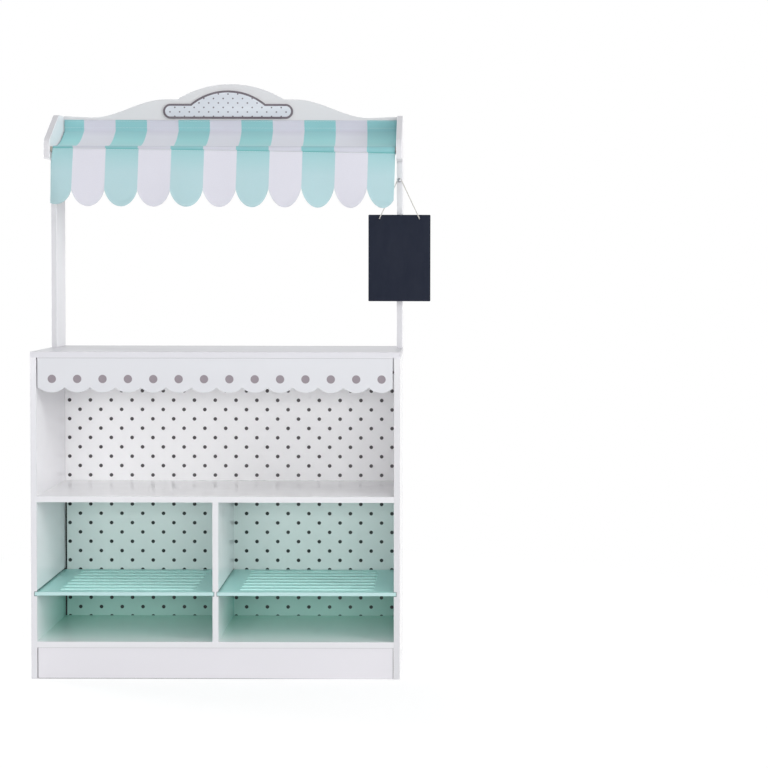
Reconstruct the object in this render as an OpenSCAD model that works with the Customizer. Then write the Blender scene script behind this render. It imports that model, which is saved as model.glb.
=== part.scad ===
// Toy market stall: a lacquered board cabinet with two pull-out slatted trays,
// two uprights that carry a scrolled header and a striped cloth awning,
// and a small chalkboard that swings on a peg.
// Millimetres, +Z up. The origin is the middle of the cabinet's footprint, on the floor.
// The front of the stall faces -Y.

/* [Cabinet] */
// Width of the cabinet, over the outer faces of the side panels
stall_w = 750; // [640:10:900]
// Depth of the cabinet, front edge to rear edge
stall_d = 300; // [270:5:380]
// Thickness of every lacquered board
board_t = 12; // [10:1:16]
// Height of the countertop's upper face
counter_h = 667; // [630:1:760]
// Height of the middle shelf's upper face
middle_shelf_h = 373; // [330:1:420]
// Height of the bottom shelf's upper face
bottom_shelf_h = 76; // [60:1:110]
// How far the kick board stands back from the front edges
kick_recess = 2; // [0:1:20]
// Gap at each end of the kick board
kick_gap = 1; // [0.5:0.5:4]

/* [Back panels] */
// Thickness of the printed hardboard back panels
back_t = 3; // [2.5:0.5:5]
// Distance from the cabinet's rear edge to the rear of the back panels
back_inset = 9; // [6:1:20]
// Depth of the grooves that hold the back panels' edges
back_groove = 3; // [2:0.5:4]
// Clearance on each face of a back panel in its groove
back_play = 0.2; // [0.1:0.05:0.4]
// Gap between the back panels and the side panels
back_gap = 1.5; // [1:0.5:4]

/* [Scalloped apron] */
// Height of the apron, down to the lowest point of its scallops
apron_h = 70.5; // [55:0.5:100]
// Number of scallops along the apron
apron_scallops = 14; // [8:1:20]
// Depth of the apron's scallops
apron_scallop_d = 10.5; // [6:0.5:16]
// Gap between each end of the apron and the side panel
apron_gap = 3; // [1:0.5:6]

/* [Slatted trays] */
// Thickness of the trays
tray_t = 7; // [5:0.5:10]
// Height of a tray's upper face above the bottom shelf
tray_rise = 101.5; // [70:0.5:150]
// Depth of the tray grooves in the side panels
tray_side_groove = 5; // [3:0.5:7]
// Depth of the tray grooves in the centre divider
tray_mid_groove = 3; // [2:0.5:4]
// Clearance at each end of a tray and above it
tray_play = 0.6; // [0.3:0.1:1.2]
// Width of a slot in a tray
slot_w = 18; // [8:1:24]
// Distance from slot to slot
slot_pitch = 36.5; // [28:0.5:60]
// Solid margin at each end of the slots
slot_margin = 40; // [25:1:80]
// Solid margin in front of the first slot and behind the last one
slot_edge = 24; // [16:1:50]
// Gap between a tray's rear edge and the back panel
tray_rear_gap = 2; // [1:0.5:6]

/* [Uprights] */
// Height of the uprights above the countertop
upright_h = 498; // [420:1:600]
// Width of an upright's post, front to rear
post_w = 90; // [70:1:120]
// How far an upright's bracket reaches forward from the rear edge
bracket_reach = 162.5; // [140:0.5:200]
// Height of a bracket at the post
bracket_h = 99; // [80:1:140]
// Height of a bracket's square nose
bracket_nose = 38; // [28:1:60]
// Length of the level stretch on top of a bracket
bracket_flat = 61; // [30:1:90]
// Radius where the nose turns into the slope
nose_r = 20; // [5:1:30]
// Radius where the slope turns into the level top
brow_r = 40; // [5:1:60]
// Radius of the nose's lower corner
nose_corner_r = 3; // [1:0.5:8]
// Radius where the bracket's lower edge meets the post
crook_r = 8; // [2:1:20]

/* [Header board] */
// Height of the header at its low points
header_h = 78; // [60:1:110]
// How far the header's low points lie under the top of the uprights
header_low = 2; // [0:0.5:10]
// Rise of the shoulders above the low points
shoulder_rise = 40; // [20:1:60]
// Rise of the middle arch above the shoulders
arch_rise = 33; // [15:1:60]
// Width of the middle arch
arch_w = 232; // [180:1:280]
// Length of a shoulder's level stretch beside the arch
shoulder_flat = 25; // [10:1:60]
// Length of the low stretch at each end of the header
header_end = 61; // [20:1:80]
// Rise of the header's outer tips above its low points
header_tip = 3; // [0:0.5:8]

/* [Sign plaque] */
// Overall width of the plaque
sign_w = 282; // [220:1:300]
// Height of the plaque's round-ended bar
sign_bar = 32; // [20:1:40]
// Width of the plaque's arch
sign_arch_w = 162; // [100:1:200]
// Rise of the plaque's arch above its bar
sign_arch_rise = 29; // [15:1:35]
// Thickness of the plaque
sign_t = 4; // [2:0.5:8]
// How far the plaque sits to the right of the header's middle
sign_shift = -5.5; // [-12:0.5:12]
// Gap between the plaque and the awning's upper edge
sign_gap = 3; // [1:0.5:8]

/* [Awning] */
// Diameter of the wooden front rail
rail_d = 12; // [8:1:16]
// Depth of the rail's sockets in the brackets
rail_socket = 6; // [4:0.5:8]
// Distance from a bracket's front edge back to the rail's axis
rail_setback = 13.5; // [11:0.5:20]
// Distance from the top of the uprights down to the rail's axis
rail_drop = 79; // [70:1:90]
// Thickness of the cloth
cloth_t = 1.2; // [0.8:0.1:2]
// Clearance between the cloth and what it passes over
cloth_play = 0.3; // [0.2:0.1:0.6]
// Gap between each side of the cloth and the bracket beside it
cloth_gap = 2; // [1:0.5:5]
// Width of the hook-and-loop tape that holds the cloth's upper edge
tape_w = 20; // [12:1:30]
// Thickness of the tape
tape_t = 1.5; // [1:0.5:3]
// Distance from the top of the uprights down to the tape's upper edge
tape_drop = 7; // [4:1:12]
// How far the tape reaches below the stretch of cloth that it holds
tape_lip = 4; // [1:0.5:8]
// Distance from each side of the cloth to the end of the tape
tape_end = 5; // [2:1:20]
// How far the cloth sags under the straight line from tape to rail
roof_sag = 10.5; // [2:0.5:13]
// Height of the valance, down to the lowest point of its scallops
valance_h = 116; // [80:1:150]
// Depth of the valance's scallops
valance_scallop_d = 34; // [15:1:45]
// How far each scallop's ellipse would run past its cusps
scallop_overlap = 1.8; // [0.5:0.1:6]
// Width of one stripe, and of the scallop below it
stripe_w = 68.9; // [50:0.1:90]
// Offset of the middle stripe from the stall's centre line
stripe_shift = -8; // [-30:1:30]

/* [Chalkboard] */
// Width of the chalkboard
slate_w = 132; // [110:1:160]
// Height of the chalkboard
slate_h = 184; // [140:1:220]
// Thickness of the chalkboard
slate_t = 5; // [3:0.5:7]
// Radius of the chalkboard's corners
slate_corner_r = 2; // [0.5:0.5:8]
// Distance from the peg's axis down to the chalkboard's upper edge
hang_drop = 73; // [55:1:100]
// Distance between the two cord holes
hole_span = 85; // [60:1:100]
// Distance from the upper edge down to the cord holes
hole_edge = 8; // [6:1:14]
// Diameter of the hanging cord
cord_d = 2.4; // [1.8:0.1:3]
// Distance from the bracket's lower edge down to the peg's axis
peg_below = 42; // [30:1:80]
// Diameter of the peg
peg_d = 4.5; // [4:0.5:6]
// Diameter of the peg's round head
peg_head_d = 8.5; // [8:0.5:12]
// How far the peg stands out of the post
peg_out = 20; // [20:1:26]
// Diameter of the peg's screw
peg_screw_d = 3; // [2.5:0.5:3.5]
// Length of the peg's screw
peg_screw_l = 18; // [12:1:30]
// Gap between the chalkboard and the post
slate_gap = 9; // [8.5:0.5:11]

/* [Fasteners] */
// Diameter of the wooden dowels
dowel_d = 6; // [5:0.5:7]
// Diameter of the connector bolts
bolt_d = 5; // [4:0.5:6]
// Diameter of the bolts' sunk heads
bolt_head_d = 12; // [10:0.5:16]
// Diameter of the barrel nuts
nut_d = 8; // [7.5:0.5:10]
// Distance from the front edge to the shelves' front bolts
bolt_front = 50; // [40:1:80]
// Distance from the rear edge to the shelves' rear bolts
bolt_rear = 60; // [40:1:80]
// Distance from the header's lower edge and low points to its bolts
header_bolt_edge = 20; // [15:1:25]
// Distance from a post's front edge to its front dowel
post_dowel_front = 20; // [12:1:30]
// Distance from a post's rear edge to its rear dowel
post_dowel_rear = 25; // [12:1:30]
// Distance from the front edge to the countertop's front dowels
counter_dowel_front = 40; // [20:1:80]
// Distance from the side panels to the outer dowels of the apron and the kick board
row_dowel_end = 104; // [40:1:160]
// Distance from the divider's front and rear edges to its dowels
divider_dowel_edge = 60; // [30:1:90]

/* [Hidden] */
$fn = 48;

// Colours of the finishes
white_lacquer = [0.90, 0.90, 0.92];
mint_lacquer = [0.62, 0.84, 0.82];
dotted_board = [0.88, 0.88, 0.89];
plain_wood = [0.82, 0.70, 0.52];
plated_steel = [0.66, 0.66, 0.68];
bolt_steel = [0.45, 0.45, 0.47];

// How far a cut runs past the face that it opens
e = 1;
// Steps along each stretch of a free curve, and the closest that points on an edge come
curve_steps = 12;
least_step = 0.2;

// Cabinet planes
half_w = stall_w / 2;
inner_w = half_w - board_t;
half_t = board_t / 2;
front = -stall_d / 2;
rear = stall_d / 2;
counter_low = counter_h - board_t;
back_y = rear - back_inset - back_t;

// Tray planes
tray_low = bottom_shelf_h + tray_rise - tray_t;
tray_back = back_y - tray_rear_gap;
tray_d = tray_back - front;
tray_outer = inner_w + tray_side_groove - tray_play;
tray_inner = half_t - tray_mid_groove + tray_play;
slot_n = floor((tray_d - 2 * slot_edge - slot_w) / slot_pitch) + 1;

// Upright, header and awning planes
top = counter_h + upright_h;
post_front = rear - post_w;
bracket_front = rear - bracket_reach;
bracket_low = top - bracket_h;
header_y = rear - board_t;
low_z = top - header_low;
shoulder_z = low_z + shoulder_rise;
header_bottom = low_z - header_h;
rail_y = bracket_front + rail_setback;
rail_z = top - rail_drop;
tape_top = top - tape_drop;
tape_y = header_y - tape_t;
rail_play = 0.3;
rail_end_gap = 0.5;
cloth_half = inner_w - cloth_gap;
sleeve_r = rail_d / 2 + cloth_play + cloth_t / 2;
sleeve_from = 75;
sleeve_to = 300;

// Chalkboard places
peg_x = half_w - half_t;
peg_z = bracket_low - peg_below;
slate_back = post_front - slate_gap;
slate_front = slate_back - slate_t;
slate_top = peg_z - hang_drop;
hole_z = slate_top - hole_edge;
cord_y = (slate_front + slate_back) / 2;
cord_play = 0.3;
knot_gap = 0.6;
turn_r = peg_d / 2 + cord_play + cord_d / 2;

// Fastener sizes and places
dowel_play = 0.1;
hole_tip = 0.5;
dowel_in = 20;
dowel_shallow = 7;
bolt_play = 0.3;
bolt_head_t = 2.5;
bolt_sink = 0.3;
bolt_socket = 1.5;
screw_tip_gap = 2;
divider_gap = 0.3;
nut_play = 0.2;
nut_l = 0.75 * board_t;
nut_in = 30;
bolt_l = board_t + nut_in + nut_d;
shelf_bolt_y = [front + bolt_front, rear - bolt_rear];
shelf_mid_z = [middle_shelf_h - half_t, bottom_shelf_h - half_t];
header_bolt_z = [header_bottom + header_bolt_edge, low_z - header_bolt_edge];
upright_dowel_y = [post_front + post_dowel_front, rear - post_dowel_rear];
counter_dowel_y = front + counter_dowel_front;
row_reach = inner_w - row_dowel_end;
apron_dowel_x = [for (k = [-1 : 2 / 3 : 1.01]) k * row_reach];
kick_dowel_x = [for (k = [-1 : 1 : 1]) k * row_reach];
divider_dowel_y = [front + divider_dowel_edge, back_y - divider_dowel_edge];

// Small helpers: a box from corner to corner, and a body mirrored to either side
module slab(lo, hi) { translate(lo) cube(hi - lo); }
module on_side(side) { mirror([side < 0 ? 1 : 0, 0, 0]) children(); }

// An outline in the X-Z plane, thickened backwards from y, and one in the Y-Z plane, from x
module sheet_xz(y, t) { translate([0, y + t, 0]) rotate([90, 0, 0]) linear_extrude(t) children(); }
module sheet_yz(x, t) { translate([x, 0, 0]) rotate([90, 0, 90]) linear_extrude(t) children(); }

// Rods along each axis
module rod_x(d, l) { rotate([0, 90, 0]) cylinder(d = d, h = l); }
module rod_y(d, l) { rotate([-90, 0, 0]) cylinder(d = d, h = l); }

function unit(v) = v / norm(v);
function reversed(list) = [for (i = [len(list) - 1 : -1 : 0]) list[i]];

// Points of the arc of radius r that rounds corner b between its neighbours a and c
function corner(a, b, c, r, n = 8) =
    let (u = unit(a - b), v = unit(c - b), half = acos(u * v) / 2,
        centre = b + unit(u + v) * r / sin(half),
        from = b + u * r / tan(half) - centre,
        sweep = (2 * half - 180) * sign(cross(u, v)))
    [for (k = [0 : n]) let (w = sweep * k / n)
        centre + [from.x * cos(w) - from.y * sin(w), from.x * sin(w) + from.y * cos(w)]];

// A closed outline whose corners are rounded to the radii given, 0 for a sharp one
function rounded(p, radii) = let (n = len(p))
    [for (i = [0 : n - 1]) each radii[i] > 0
        ? corner(p[(i + n - 1) % n], p[i], p[(i + 1) % n], radii[i]) : [p[i]]];

// A line of points moved sideways by d, used to give a cloth profile its thickness
function beside(p, d) = [for (i = [0 : len(p) - 1])
    let (t = unit(p[min(i + 1, len(p) - 1)] - p[max(i - 1, 0)])) p[i] + d * [-t.y, t.x]];

// A straight row of scallops from x0 to x1, hanging depth d below z, left to right.
// Each is the end of an ellipse that would run over past its cusps.
function scallops(x0, x1, z, d, from, pitch, over) =
    let (k = pitch / (pitch + 2 * over), half_h = d / (1 - sqrt(1 - k * k)))
    [for (x = cut_points(x0, x1, from, pitch, curve_steps))
        let (s = (x - from) / pitch, t = k * (2 * (s - floor(s)) - 1))
        [x, z - d + half_h * (1 - sqrt(1 - t * t))]];

// Places along a row of scallops: closer together near each cusp, cut off at both ends
function cut_points(x0, x1, from, pitch, steps) = concat([x0],
    [for (k = [floor((x0 - from) / pitch) : floor((x1 - from) / pitch)], j = [0 : steps - 1])
        let (x = from + pitch * (k + (1 - cos(180 * j / steps)) / 2))
        if (x > x0 + least_step && x < x1 - least_step) x], [x1]);

// Connector bolt lying along -X: its sunk head is at x = 0, with a hexagon socket
module connector_bolt() {
    rotate([0, -90, 0]) difference() {
        union() {
            translate([0, 0, bolt_sink]) cylinder(d = bolt_head_d, h = bolt_head_t);
            translate([0, 0, bolt_sink]) cylinder(d = bolt_d, h = bolt_l - bolt_sink);
        }
        translate([0, 0, bolt_sink - e]) cylinder(d = bolt_d, h = e + bolt_socket, $fn = 6);
    }
}

// What a connector bolt takes out of the boards that it passes through
module bolt_hole() {
    rotate([0, -90, 0]) {
        translate([0, 0, -e]) cylinder(d = bolt_head_d + 2 * bolt_play, h = bolt_sink + bolt_head_t + e);
        cylinder(d = bolt_d + 2 * bolt_play, h = bolt_l + e);
    }
}

// Barrel nut along Z with a cross bore for the bolt, and its pocket, open below
module barrel_nut() {
    difference() {
        translate([0, 0, -nut_l / 2]) cylinder(d = nut_d, h = nut_l);
        translate([-nut_d, 0, 0]) rod_x(bolt_d + 2 * dowel_play, 2 * nut_d);
    }
}
module nut_pocket() {
    translate([0, 0, -board_t]) cylinder(d = nut_d + 2 * nut_play, h = board_t + nut_l / 2 + nut_play);
}

// Dowel across a joint plane at z = 0, and the hole for it
module dowel(below, above) { translate([0, 0, -below]) cylinder(d = dowel_d, h = below + above); }
module dowel_hole(below, above) {
    translate([0, 0, -below - hole_tip])
        cylinder(d = dowel_d + 2 * dowel_play, h = below + above + 2 * hole_tip);
}

// Places of the fasteners, for the pieces themselves and for the holes they sit in
module at_shelf_bolts() {
    for (side = [-1, 1], z = shelf_mid_z, y = shelf_bolt_y)
        on_side(side) translate([half_w, y, z]) children();
}
module at_header_bolts() {
    for (side = [-1, 1], z = header_bolt_z)
        on_side(side) translate([half_w, header_y + half_t, z]) children();
}
module at_upright_dowels() {
    for (side = [-1, 1], y = upright_dowel_y) translate([side * peg_x, y, counter_h]) children();
}
module at_counter_dowels() {
    for (side = [-1, 1]) translate([side * peg_x, counter_dowel_y, counter_low]) children();
}
module at_apron_dowels() {
    for (x = apron_dowel_x) translate([x, front + half_t, counter_low]) children();
}
module at_kick_dowels() {
    for (x = kick_dowel_x)
        translate([x, front + kick_recess + half_t, bottom_shelf_h - board_t]) children();
}
module at_divider_dowels() {
    for (y = divider_dowel_y) {
        translate([0, y, middle_shelf_h - board_t]) children();
        translate([0, y, bottom_shelf_h]) mirror([0, 0, 1]) children();
    }
}

// Groove for a back panel's edge, cut into a face at height z, upwards or downwards
module back_channel(z, up) {
    low = up > 0 ? z - e : z - back_groove;
    slab([-inner_w, back_y - back_play, low],
        [inner_w, back_y + back_t + back_play, low + back_groove + e]);
}

// Side panel: a full-height board with a tray groove that is open at the front
module side_panel(side) {
    on_side(side) difference() {
        slab([inner_w, front, 0], [half_w, rear, counter_low]);
        slab([inner_w - e, front - e, tray_low],
            [inner_w + tray_side_groove, tray_back + tray_play, tray_low + tray_t + tray_play]);
        at_shelf_bolts() bolt_hole();
        at_upright_dowels() dowel_hole(board_t + dowel_in, dowel_in);
        at_counter_dowels() dowel_hole(dowel_in, dowel_shallow);
    }
}
module left_side_panel() { color(white_lacquer) side_panel(-1); }
module right_side_panel() { color(white_lacquer) side_panel(1); }

// Countertop: lies on both side panels, with a groove under its rear edge
module countertop() {
    color(white_lacquer) difference() {
        slab([-half_w, front, counter_low], [half_w, rear, counter_h]);
        back_channel(counter_low, 1);
        at_upright_dowels() dowel_hole(board_t + dowel_in, dowel_in);
        at_counter_dowels() dowel_hole(dowel_in, dowel_shallow);
        at_apron_dowels() dowel_hole(dowel_in, dowel_shallow);
    }
}

// A shelf between the side panels, bored for its bolts and barrel nuts
module shelf(z) {
    difference() {
        slab([-inner_w, front, z - board_t], [inner_w, rear, z]);
        at_shelf_bolts() bolt_hole();
        at_shelf_bolts() translate([-board_t - nut_in, 0, 0]) nut_pocket();
        at_divider_dowels() dowel_hole(dowel_in, dowel_shallow);
        at_kick_dowels() dowel_hole(dowel_in, dowel_shallow);
        back_channel(z, -1);
        children();
    }
}
module middle_shelf() {
    color(white_lacquer) shelf(middle_shelf_h) back_channel(middle_shelf_h - board_t, 1);
}
module bottom_shelf() {
    color(white_lacquer) shelf(bottom_shelf_h);
}

// Centre divider: stands between the shelves and has a tray groove on each face
module centre_divider() {
    color(white_lacquer) difference() {
        slab([-half_t, front, bottom_shelf_h], [half_t, back_y - divider_gap, middle_shelf_h - board_t]);
        for (side = [-1, 1]) on_side(side)
            slab([half_t - tray_mid_groove, front - e, tray_low],
                [half_t + e, tray_back + tray_play, tray_low + tray_t + tray_play]);
        at_divider_dowels() dowel_hole(dowel_in, dowel_shallow);
    }
}

// Kick board: stands on the floor under the bottom shelf
module kick_board() {
    color([0.89, 0.89, 0.90]) difference() {
        slab([kick_gap - inner_w, front + kick_recess, 0],
            [inner_w - kick_gap, front + kick_recess + board_t, bottom_shelf_h - board_t]);
        at_kick_dowels() dowel_hole(dowel_in, dowel_shallow);
    }
}

// Scalloped apron: a board hung under the front of the countertop
module scalloped_apron() {
    half = inner_w - apron_gap;
    cusp_z = counter_low - apron_h + apron_scallop_d;
    pitch = 2 * half / apron_scallops;
    arc_r = (pitch * pitch / 4 + apron_scallop_d * apron_scallop_d) / (2 * apron_scallop_d);
    color([0.90, 0.91, 0.93]) difference() {
        sheet_xz(front, board_t) intersection() {
            union() {
                translate([-half, cusp_z]) square([2 * half, counter_low - cusp_z]);
                for (k = [0 : apron_scallops - 1])
                    translate([-half + (k + 0.5) * pitch, cusp_z - apron_scallop_d + arc_r])
                        intersection() {
                            circle(arc_r);
                            translate([-pitch / 2, -2 * arc_r]) square([pitch, 2 * arc_r]);
                        }
            }
            translate([-half, 0]) square([2 * half, counter_low]);
        }
        at_apron_dowels() dowel_hole(dowel_in, dowel_shallow);
    }
}

// Back panels: printed hardboard, one above and one below the middle shelf
module back_panel(low, high) {
    slab([back_gap - inner_w, back_y, low - back_groove],
        [inner_w - back_gap, back_y + back_t, high + back_groove - 2 * back_play]);
}
module upper_back_panel() { color(dotted_board) back_panel(middle_shelf_h, counter_low); }
module lower_back_panel() {
    color(dotted_board) back_panel(bottom_shelf_h, middle_shelf_h - board_t);
}

// Slatted tray: a thin board with a row of round-ended slots, sliding in two grooves
module slot(l) {
    translate([0, -slot_w / 2]) square([l, slot_w]);
    for (x = [0, l]) translate([x, 0]) circle(d = slot_w);
}
module tray(side) {
    slot_from = half_t + slot_margin + slot_w / 2;
    slot_l = inner_w - slot_margin - slot_w / 2 - slot_from;
    color(mint_lacquer) on_side(side) translate([0, 0, tray_low]) linear_extrude(tray_t)
        difference() {
            translate([tray_inner, front]) square([tray_outer - tray_inner, tray_d]);
            for (k = [0 : slot_n - 1])
                translate([slot_from, front + tray_d / 2 + (k - (slot_n - 1) / 2) * slot_pitch])
                    slot(slot_l);
        }
}
module left_tray() { tray(-1); }
module right_tray() { tray(1); }

// Upright: a post with a bracket at its top, cut from one board
module upright(side) {
    outline = [[rear, counter_h], [rear, top], [rear - bracket_flat, top],
        [bracket_front, bracket_low + bracket_nose], [bracket_front, bracket_low],
        [post_front, bracket_low], [post_front, counter_h]];
    radii = [0, 0, brow_r, nose_r, nose_corner_r, crook_r, 0];
    color(white_lacquer) difference() {
        on_side(side) difference() {
            sheet_yz(inner_w, board_t) polygon(rounded(outline, radii));
            translate([inner_w - e, rail_y, rail_z]) rod_x(rail_d + 2 * rail_play, rail_socket + e);
        }
        at_header_bolts() bolt_hole();
        at_upright_dowels() dowel_hole(board_t + dowel_in, dowel_in);
        if (side > 0) translate([peg_x, post_front - e, peg_z])
            rod_y(peg_screw_d + 2 * dowel_play, e + peg_screw_l + screw_tip_gap);
    }
}
module left_upright() { upright(-1); }
module right_upright() { upright(1); }

// Header board: low ends, S-curved shoulders and an arch in the middle
module header_board() {
    ramp_out = inner_w - header_end;
    ramp_in = arch_w / 2 + shoulder_flat;
    arch_r = (arch_w * arch_w / 4 + arch_rise * arch_rise) / (2 * arch_rise);
    arch_a = asin(arch_w / 2 / arch_r);
    ease = [for (k = [0 : curve_steps]) k / curve_steps];
    right_half = concat(
        [for (s = ease) arch_r * [sin(s * arch_a), cos(s * arch_a)] + [0, shoulder_z + arch_rise - arch_r]],
        [for (s = ease) [ramp_in + s * (ramp_out - ramp_in),
            low_z + shoulder_rise * (1 + cos(180 * s)) / 2]],
        [[inner_w, low_z + header_tip]]);
    left_half = reversed([for (p = right_half) if (p.x > 0) [-p.x, p.y]]);
    color([0.88, 0.88, 0.90]) difference() {
        sheet_xz(header_y, board_t)
            polygon(concat([[inner_w, header_bottom], [-inner_w, header_bottom]], left_half, right_half));
        at_header_bolts() bolt_hole();
        at_header_bolts() translate([-board_t - nut_in, 0, 0]) rotate([90, 0, 0]) nut_pocket();
    }
}

// Sign plaque: a round-ended bar with an arch, glued to the front of the header
module sign_plaque() {
    sign_low = tape_top + sign_gap;
    arch_r = (sign_arch_w * sign_arch_w / 4 + sign_arch_rise * sign_arch_rise) / (2 * sign_arch_rise);
    bar_half = sign_w / 2 - sign_bar / 2;
    color([0.87, 0.88, 0.92]) sheet_xz(header_y - sign_t, sign_t) translate([sign_shift, sign_low]) {
        translate([-bar_half, 0]) square([2 * bar_half, sign_bar]);
        for (side = [-1, 1]) translate([side * bar_half, sign_bar / 2]) circle(d = sign_bar);
        intersection() {
            translate([0, sign_bar + sign_arch_rise - arch_r]) circle(arch_r, $fn = 96);
            translate([-sign_arch_w / 2, sign_bar / 2])
                square([sign_arch_w, sign_bar / 2 + sign_arch_rise]);
        }
    }
}

// Awning rail: a wooden rod whose ends sit in the brackets
module awning_rail() {
    half = inner_w + rail_socket - rail_end_gap;
    color([0.85, 0.78, 0.66]) translate([-half, rail_y, rail_z]) rod_x(rail_d, 2 * half);
}

// Hook-and-loop tape along the front of the header
module awning_tape() {
    half = cloth_half - tape_end;
    color([0.92, 0.92, 0.92])
        slab([-half, tape_y, tape_top - tape_w], [half, header_y, tape_top]);
}

// Awning roof: cloth that hangs from the tape, sags and goes round the rail as a sleeve
module awning_roof() {
    hem = [tape_y - cloth_t / 2, tape_top];
    fold = hem - [0, tape_w - tape_lip];
    land = [rail_y, rail_z] + sleeve_r * [cos(sleeve_from), sin(sleeve_from)];
    chord = unit(land - fold);
    pull = (fold + land) / 2 + 2 * roof_sag * [-chord.y, chord.x];
    sag = [for (k = [1 : curve_steps]) let (s = k / (curve_steps + 1))
        pow(1 - s, 2) * fold + 2 * s * (1 - s) * pull + s * s * land];
    sleeve = [for (a = [sleeve_from : 15 : sleeve_to]) [rail_y, rail_z] + sleeve_r * [cos(a), sin(a)]];
    middle = concat([hem, fold], sag, sleeve);
    color([0.62, 0.84, 0.83]) sheet_yz(-cloth_half, 2 * cloth_half)
        polygon(concat(beside(middle, cloth_t / 2), reversed(beside(middle, -cloth_t / 2))));
}

// Valance: a cloth strip with one scallop under each stripe, sewn to the sleeve
module awning_valance() {
    valance_y = rail_y - rail_d / 2;
    drop = sqrt(pow(sleeve_r + cloth_t / 2 + cloth_play, 2) - pow(rail_y - valance_y - cloth_t / 2, 2));
    high = rail_z - drop;
    cusp_z = high - valance_h + valance_scallop_d;
    edge = scallops(-cloth_half, cloth_half, cusp_z, valance_scallop_d,
        stripe_shift - stripe_w / 2, stripe_w, scallop_overlap);
    color([0.70, 0.86, 0.87]) sheet_xz(valance_y - cloth_t / 2, cloth_t)
        polygon(concat([[cloth_half, high], [-cloth_half, high]], edge));
}

// Peg: a turned metal peg with a round head, screwed into the right post's front edge
module chalkboard_peg() {
    head_t = 3;
    screw_r = peg_screw_d / 2;
    profile = concat([[0, -peg_screw_l], [screw_r, -peg_screw_l], [screw_r, 0], [peg_d / 2, 0],
            [peg_d / 2, peg_out - head_t]],
        [for (a = [0 : 15 : 75]) [peg_head_d / 2 * cos(a), peg_out - head_t * (1 - sin(a))]],
        [[0, peg_out]]);
    color(plated_steel) translate([peg_x, post_front, peg_z]) rotate([90, 0, 0])
        rotate_extrude() polygon(profile);
}

// Chalkboard: a thin dark board with two holes for the cord
module chalkboard() {
    half = slate_w / 2;
    outline = [[-half, -slate_h], [half, -slate_h], [half, 0], [-half, 0]];
    color([0.16, 0.18, 0.23]) translate([peg_x, 0, 0]) difference() {
        sheet_xz(slate_front, slate_t) translate([0, slate_top])
            polygon(rounded(outline, [for (p = outline) slate_corner_r]));
        for (side = [-1, 1]) translate([side * hole_span / 2, slate_front - e, hole_z])
            rod_y(cord_d + 2 * cord_play, slate_t + 2 * e);
    }
}

// Frames along a line of points, each carried over from the one before
function tangents(p) = [for (i = [0 : len(p) - 1]) unit(p[min(i + 1, len(p) - 1)] - p[max(i - 1, 0)])];
function carried(t, side, i = 0) = i == len(t) ? []
    : let (s = unit(side - (side * t[i]) * t[i])) concat([s], carried(t, s, i + 1));

// A round tube along a line of points, with a radius for each point
module tube(p, radii, sides = 8) {
    t = tangents(p);
    u = carried(t, [1, 0, 0]);
    n = len(p);
    rings = [for (i = [0 : n - 1], k = [0 : sides - 1]) let (a = 360 * k / sides)
        p[i] + radii[i] * (cos(a) * u[i] + sin(a) * cross(t[i], u[i]))];
    walls = [for (i = [0 : n - 2], k = [0 : sides - 1])
        let (a = i * sides + k, b = i * sides + (k + 1) % sides)
        each [[a, a + sides, b], [b, a + sides, b + sides]]];
    caps = [[for (k = [0 : sides - 1]) k], [for (k = [sides - 1 : -1 : 0]) (n - 1) * sides + k]];
    polyhedron(rings, concat(walls, caps));
}

// Hanging cord: from a knot behind the board, out through its hole, up and over the peg.
// A knot is given by its places along the cord and its radii there, in cord diameters.
module chalkboard_cord() {
    half = hole_span / 2;
    bend_r = 2 * cord_d;
    lift = hole_z - peg_z;
    reach = norm([half, lift]);
    rise_a = atan2(lift, half) + acos(turn_r / reach);
    up = unit(turn_r * [cos(rise_a), sin(rise_a)] - [half, lift]);
    knot = [[1.7, 0.4], [1.25, 1], [0, 1.35], [-1, 1], [-1.4, 0.5]];
    knot_y = slate_back + knot_gap - knot[4][0] * cord_d;
    tail = [for (k = knot) [half, knot_y + k[0] * cord_d, lift]];
    bend = [for (a = [0 : 22.5 : 90]) [half + bend_r * (1 - cos(a)) * up.x,
        slate_front - bend_r * sin(a), lift + bend_r * (1 - cos(a)) * up.y]];
    turn = [for (k = [0 : 4]) let (a = rise_a + k / 4 * (90 - rise_a))
        [turn_r * cos(a), cord_y, turn_r * sin(a)]];
    right_half = concat(tail, bend, turn);
    left_half = [for (p = reversed(right_half)) if (p.x > 0.01) [-p.x, p.y, p.z]];
    line = concat(right_half, left_half);
    radii = [for (i = [0 : len(line) - 1]) let (j = min(i, len(line) - 1 - i))
        cord_d * (j < len(knot) ? knot[j][1] : 0.5)];
    color([0.92, 0.91, 0.88]) translate([peg_x, 0, peg_z]) tube(line, radii);
}

// Fasteners: bolts with their barrel nuts, and dowels in the board edges
module shelf_bolts() { color(bolt_steel) at_shelf_bolts() connector_bolt(); }
module shelf_nuts() {
    color(plated_steel) at_shelf_bolts() translate([-board_t - nut_in, 0, 0]) barrel_nut();
}
module header_bolts() { color(bolt_steel) at_header_bolts() connector_bolt(); }
module header_nuts() {
    color(plated_steel) at_header_bolts() translate([-board_t - nut_in, 0, 0])
        rotate([90, 0, 0]) barrel_nut();
}
module upright_dowels() {
    color(plain_wood) at_upright_dowels() dowel(board_t + dowel_in, dowel_in);
}
module counter_dowels() {
    color(plain_wood) at_counter_dowels() dowel(dowel_in, dowel_shallow);
}
module apron_dowels() {
    color(plain_wood) at_apron_dowels() dowel(dowel_in, dowel_shallow);
}
module divider_dowels() {
    color(plain_wood) at_divider_dowels() dowel(dowel_in, dowel_shallow);
}
module kick_dowels() {
    color(plain_wood) at_kick_dowels() dowel(dowel_in, dowel_shallow);
}

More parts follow.
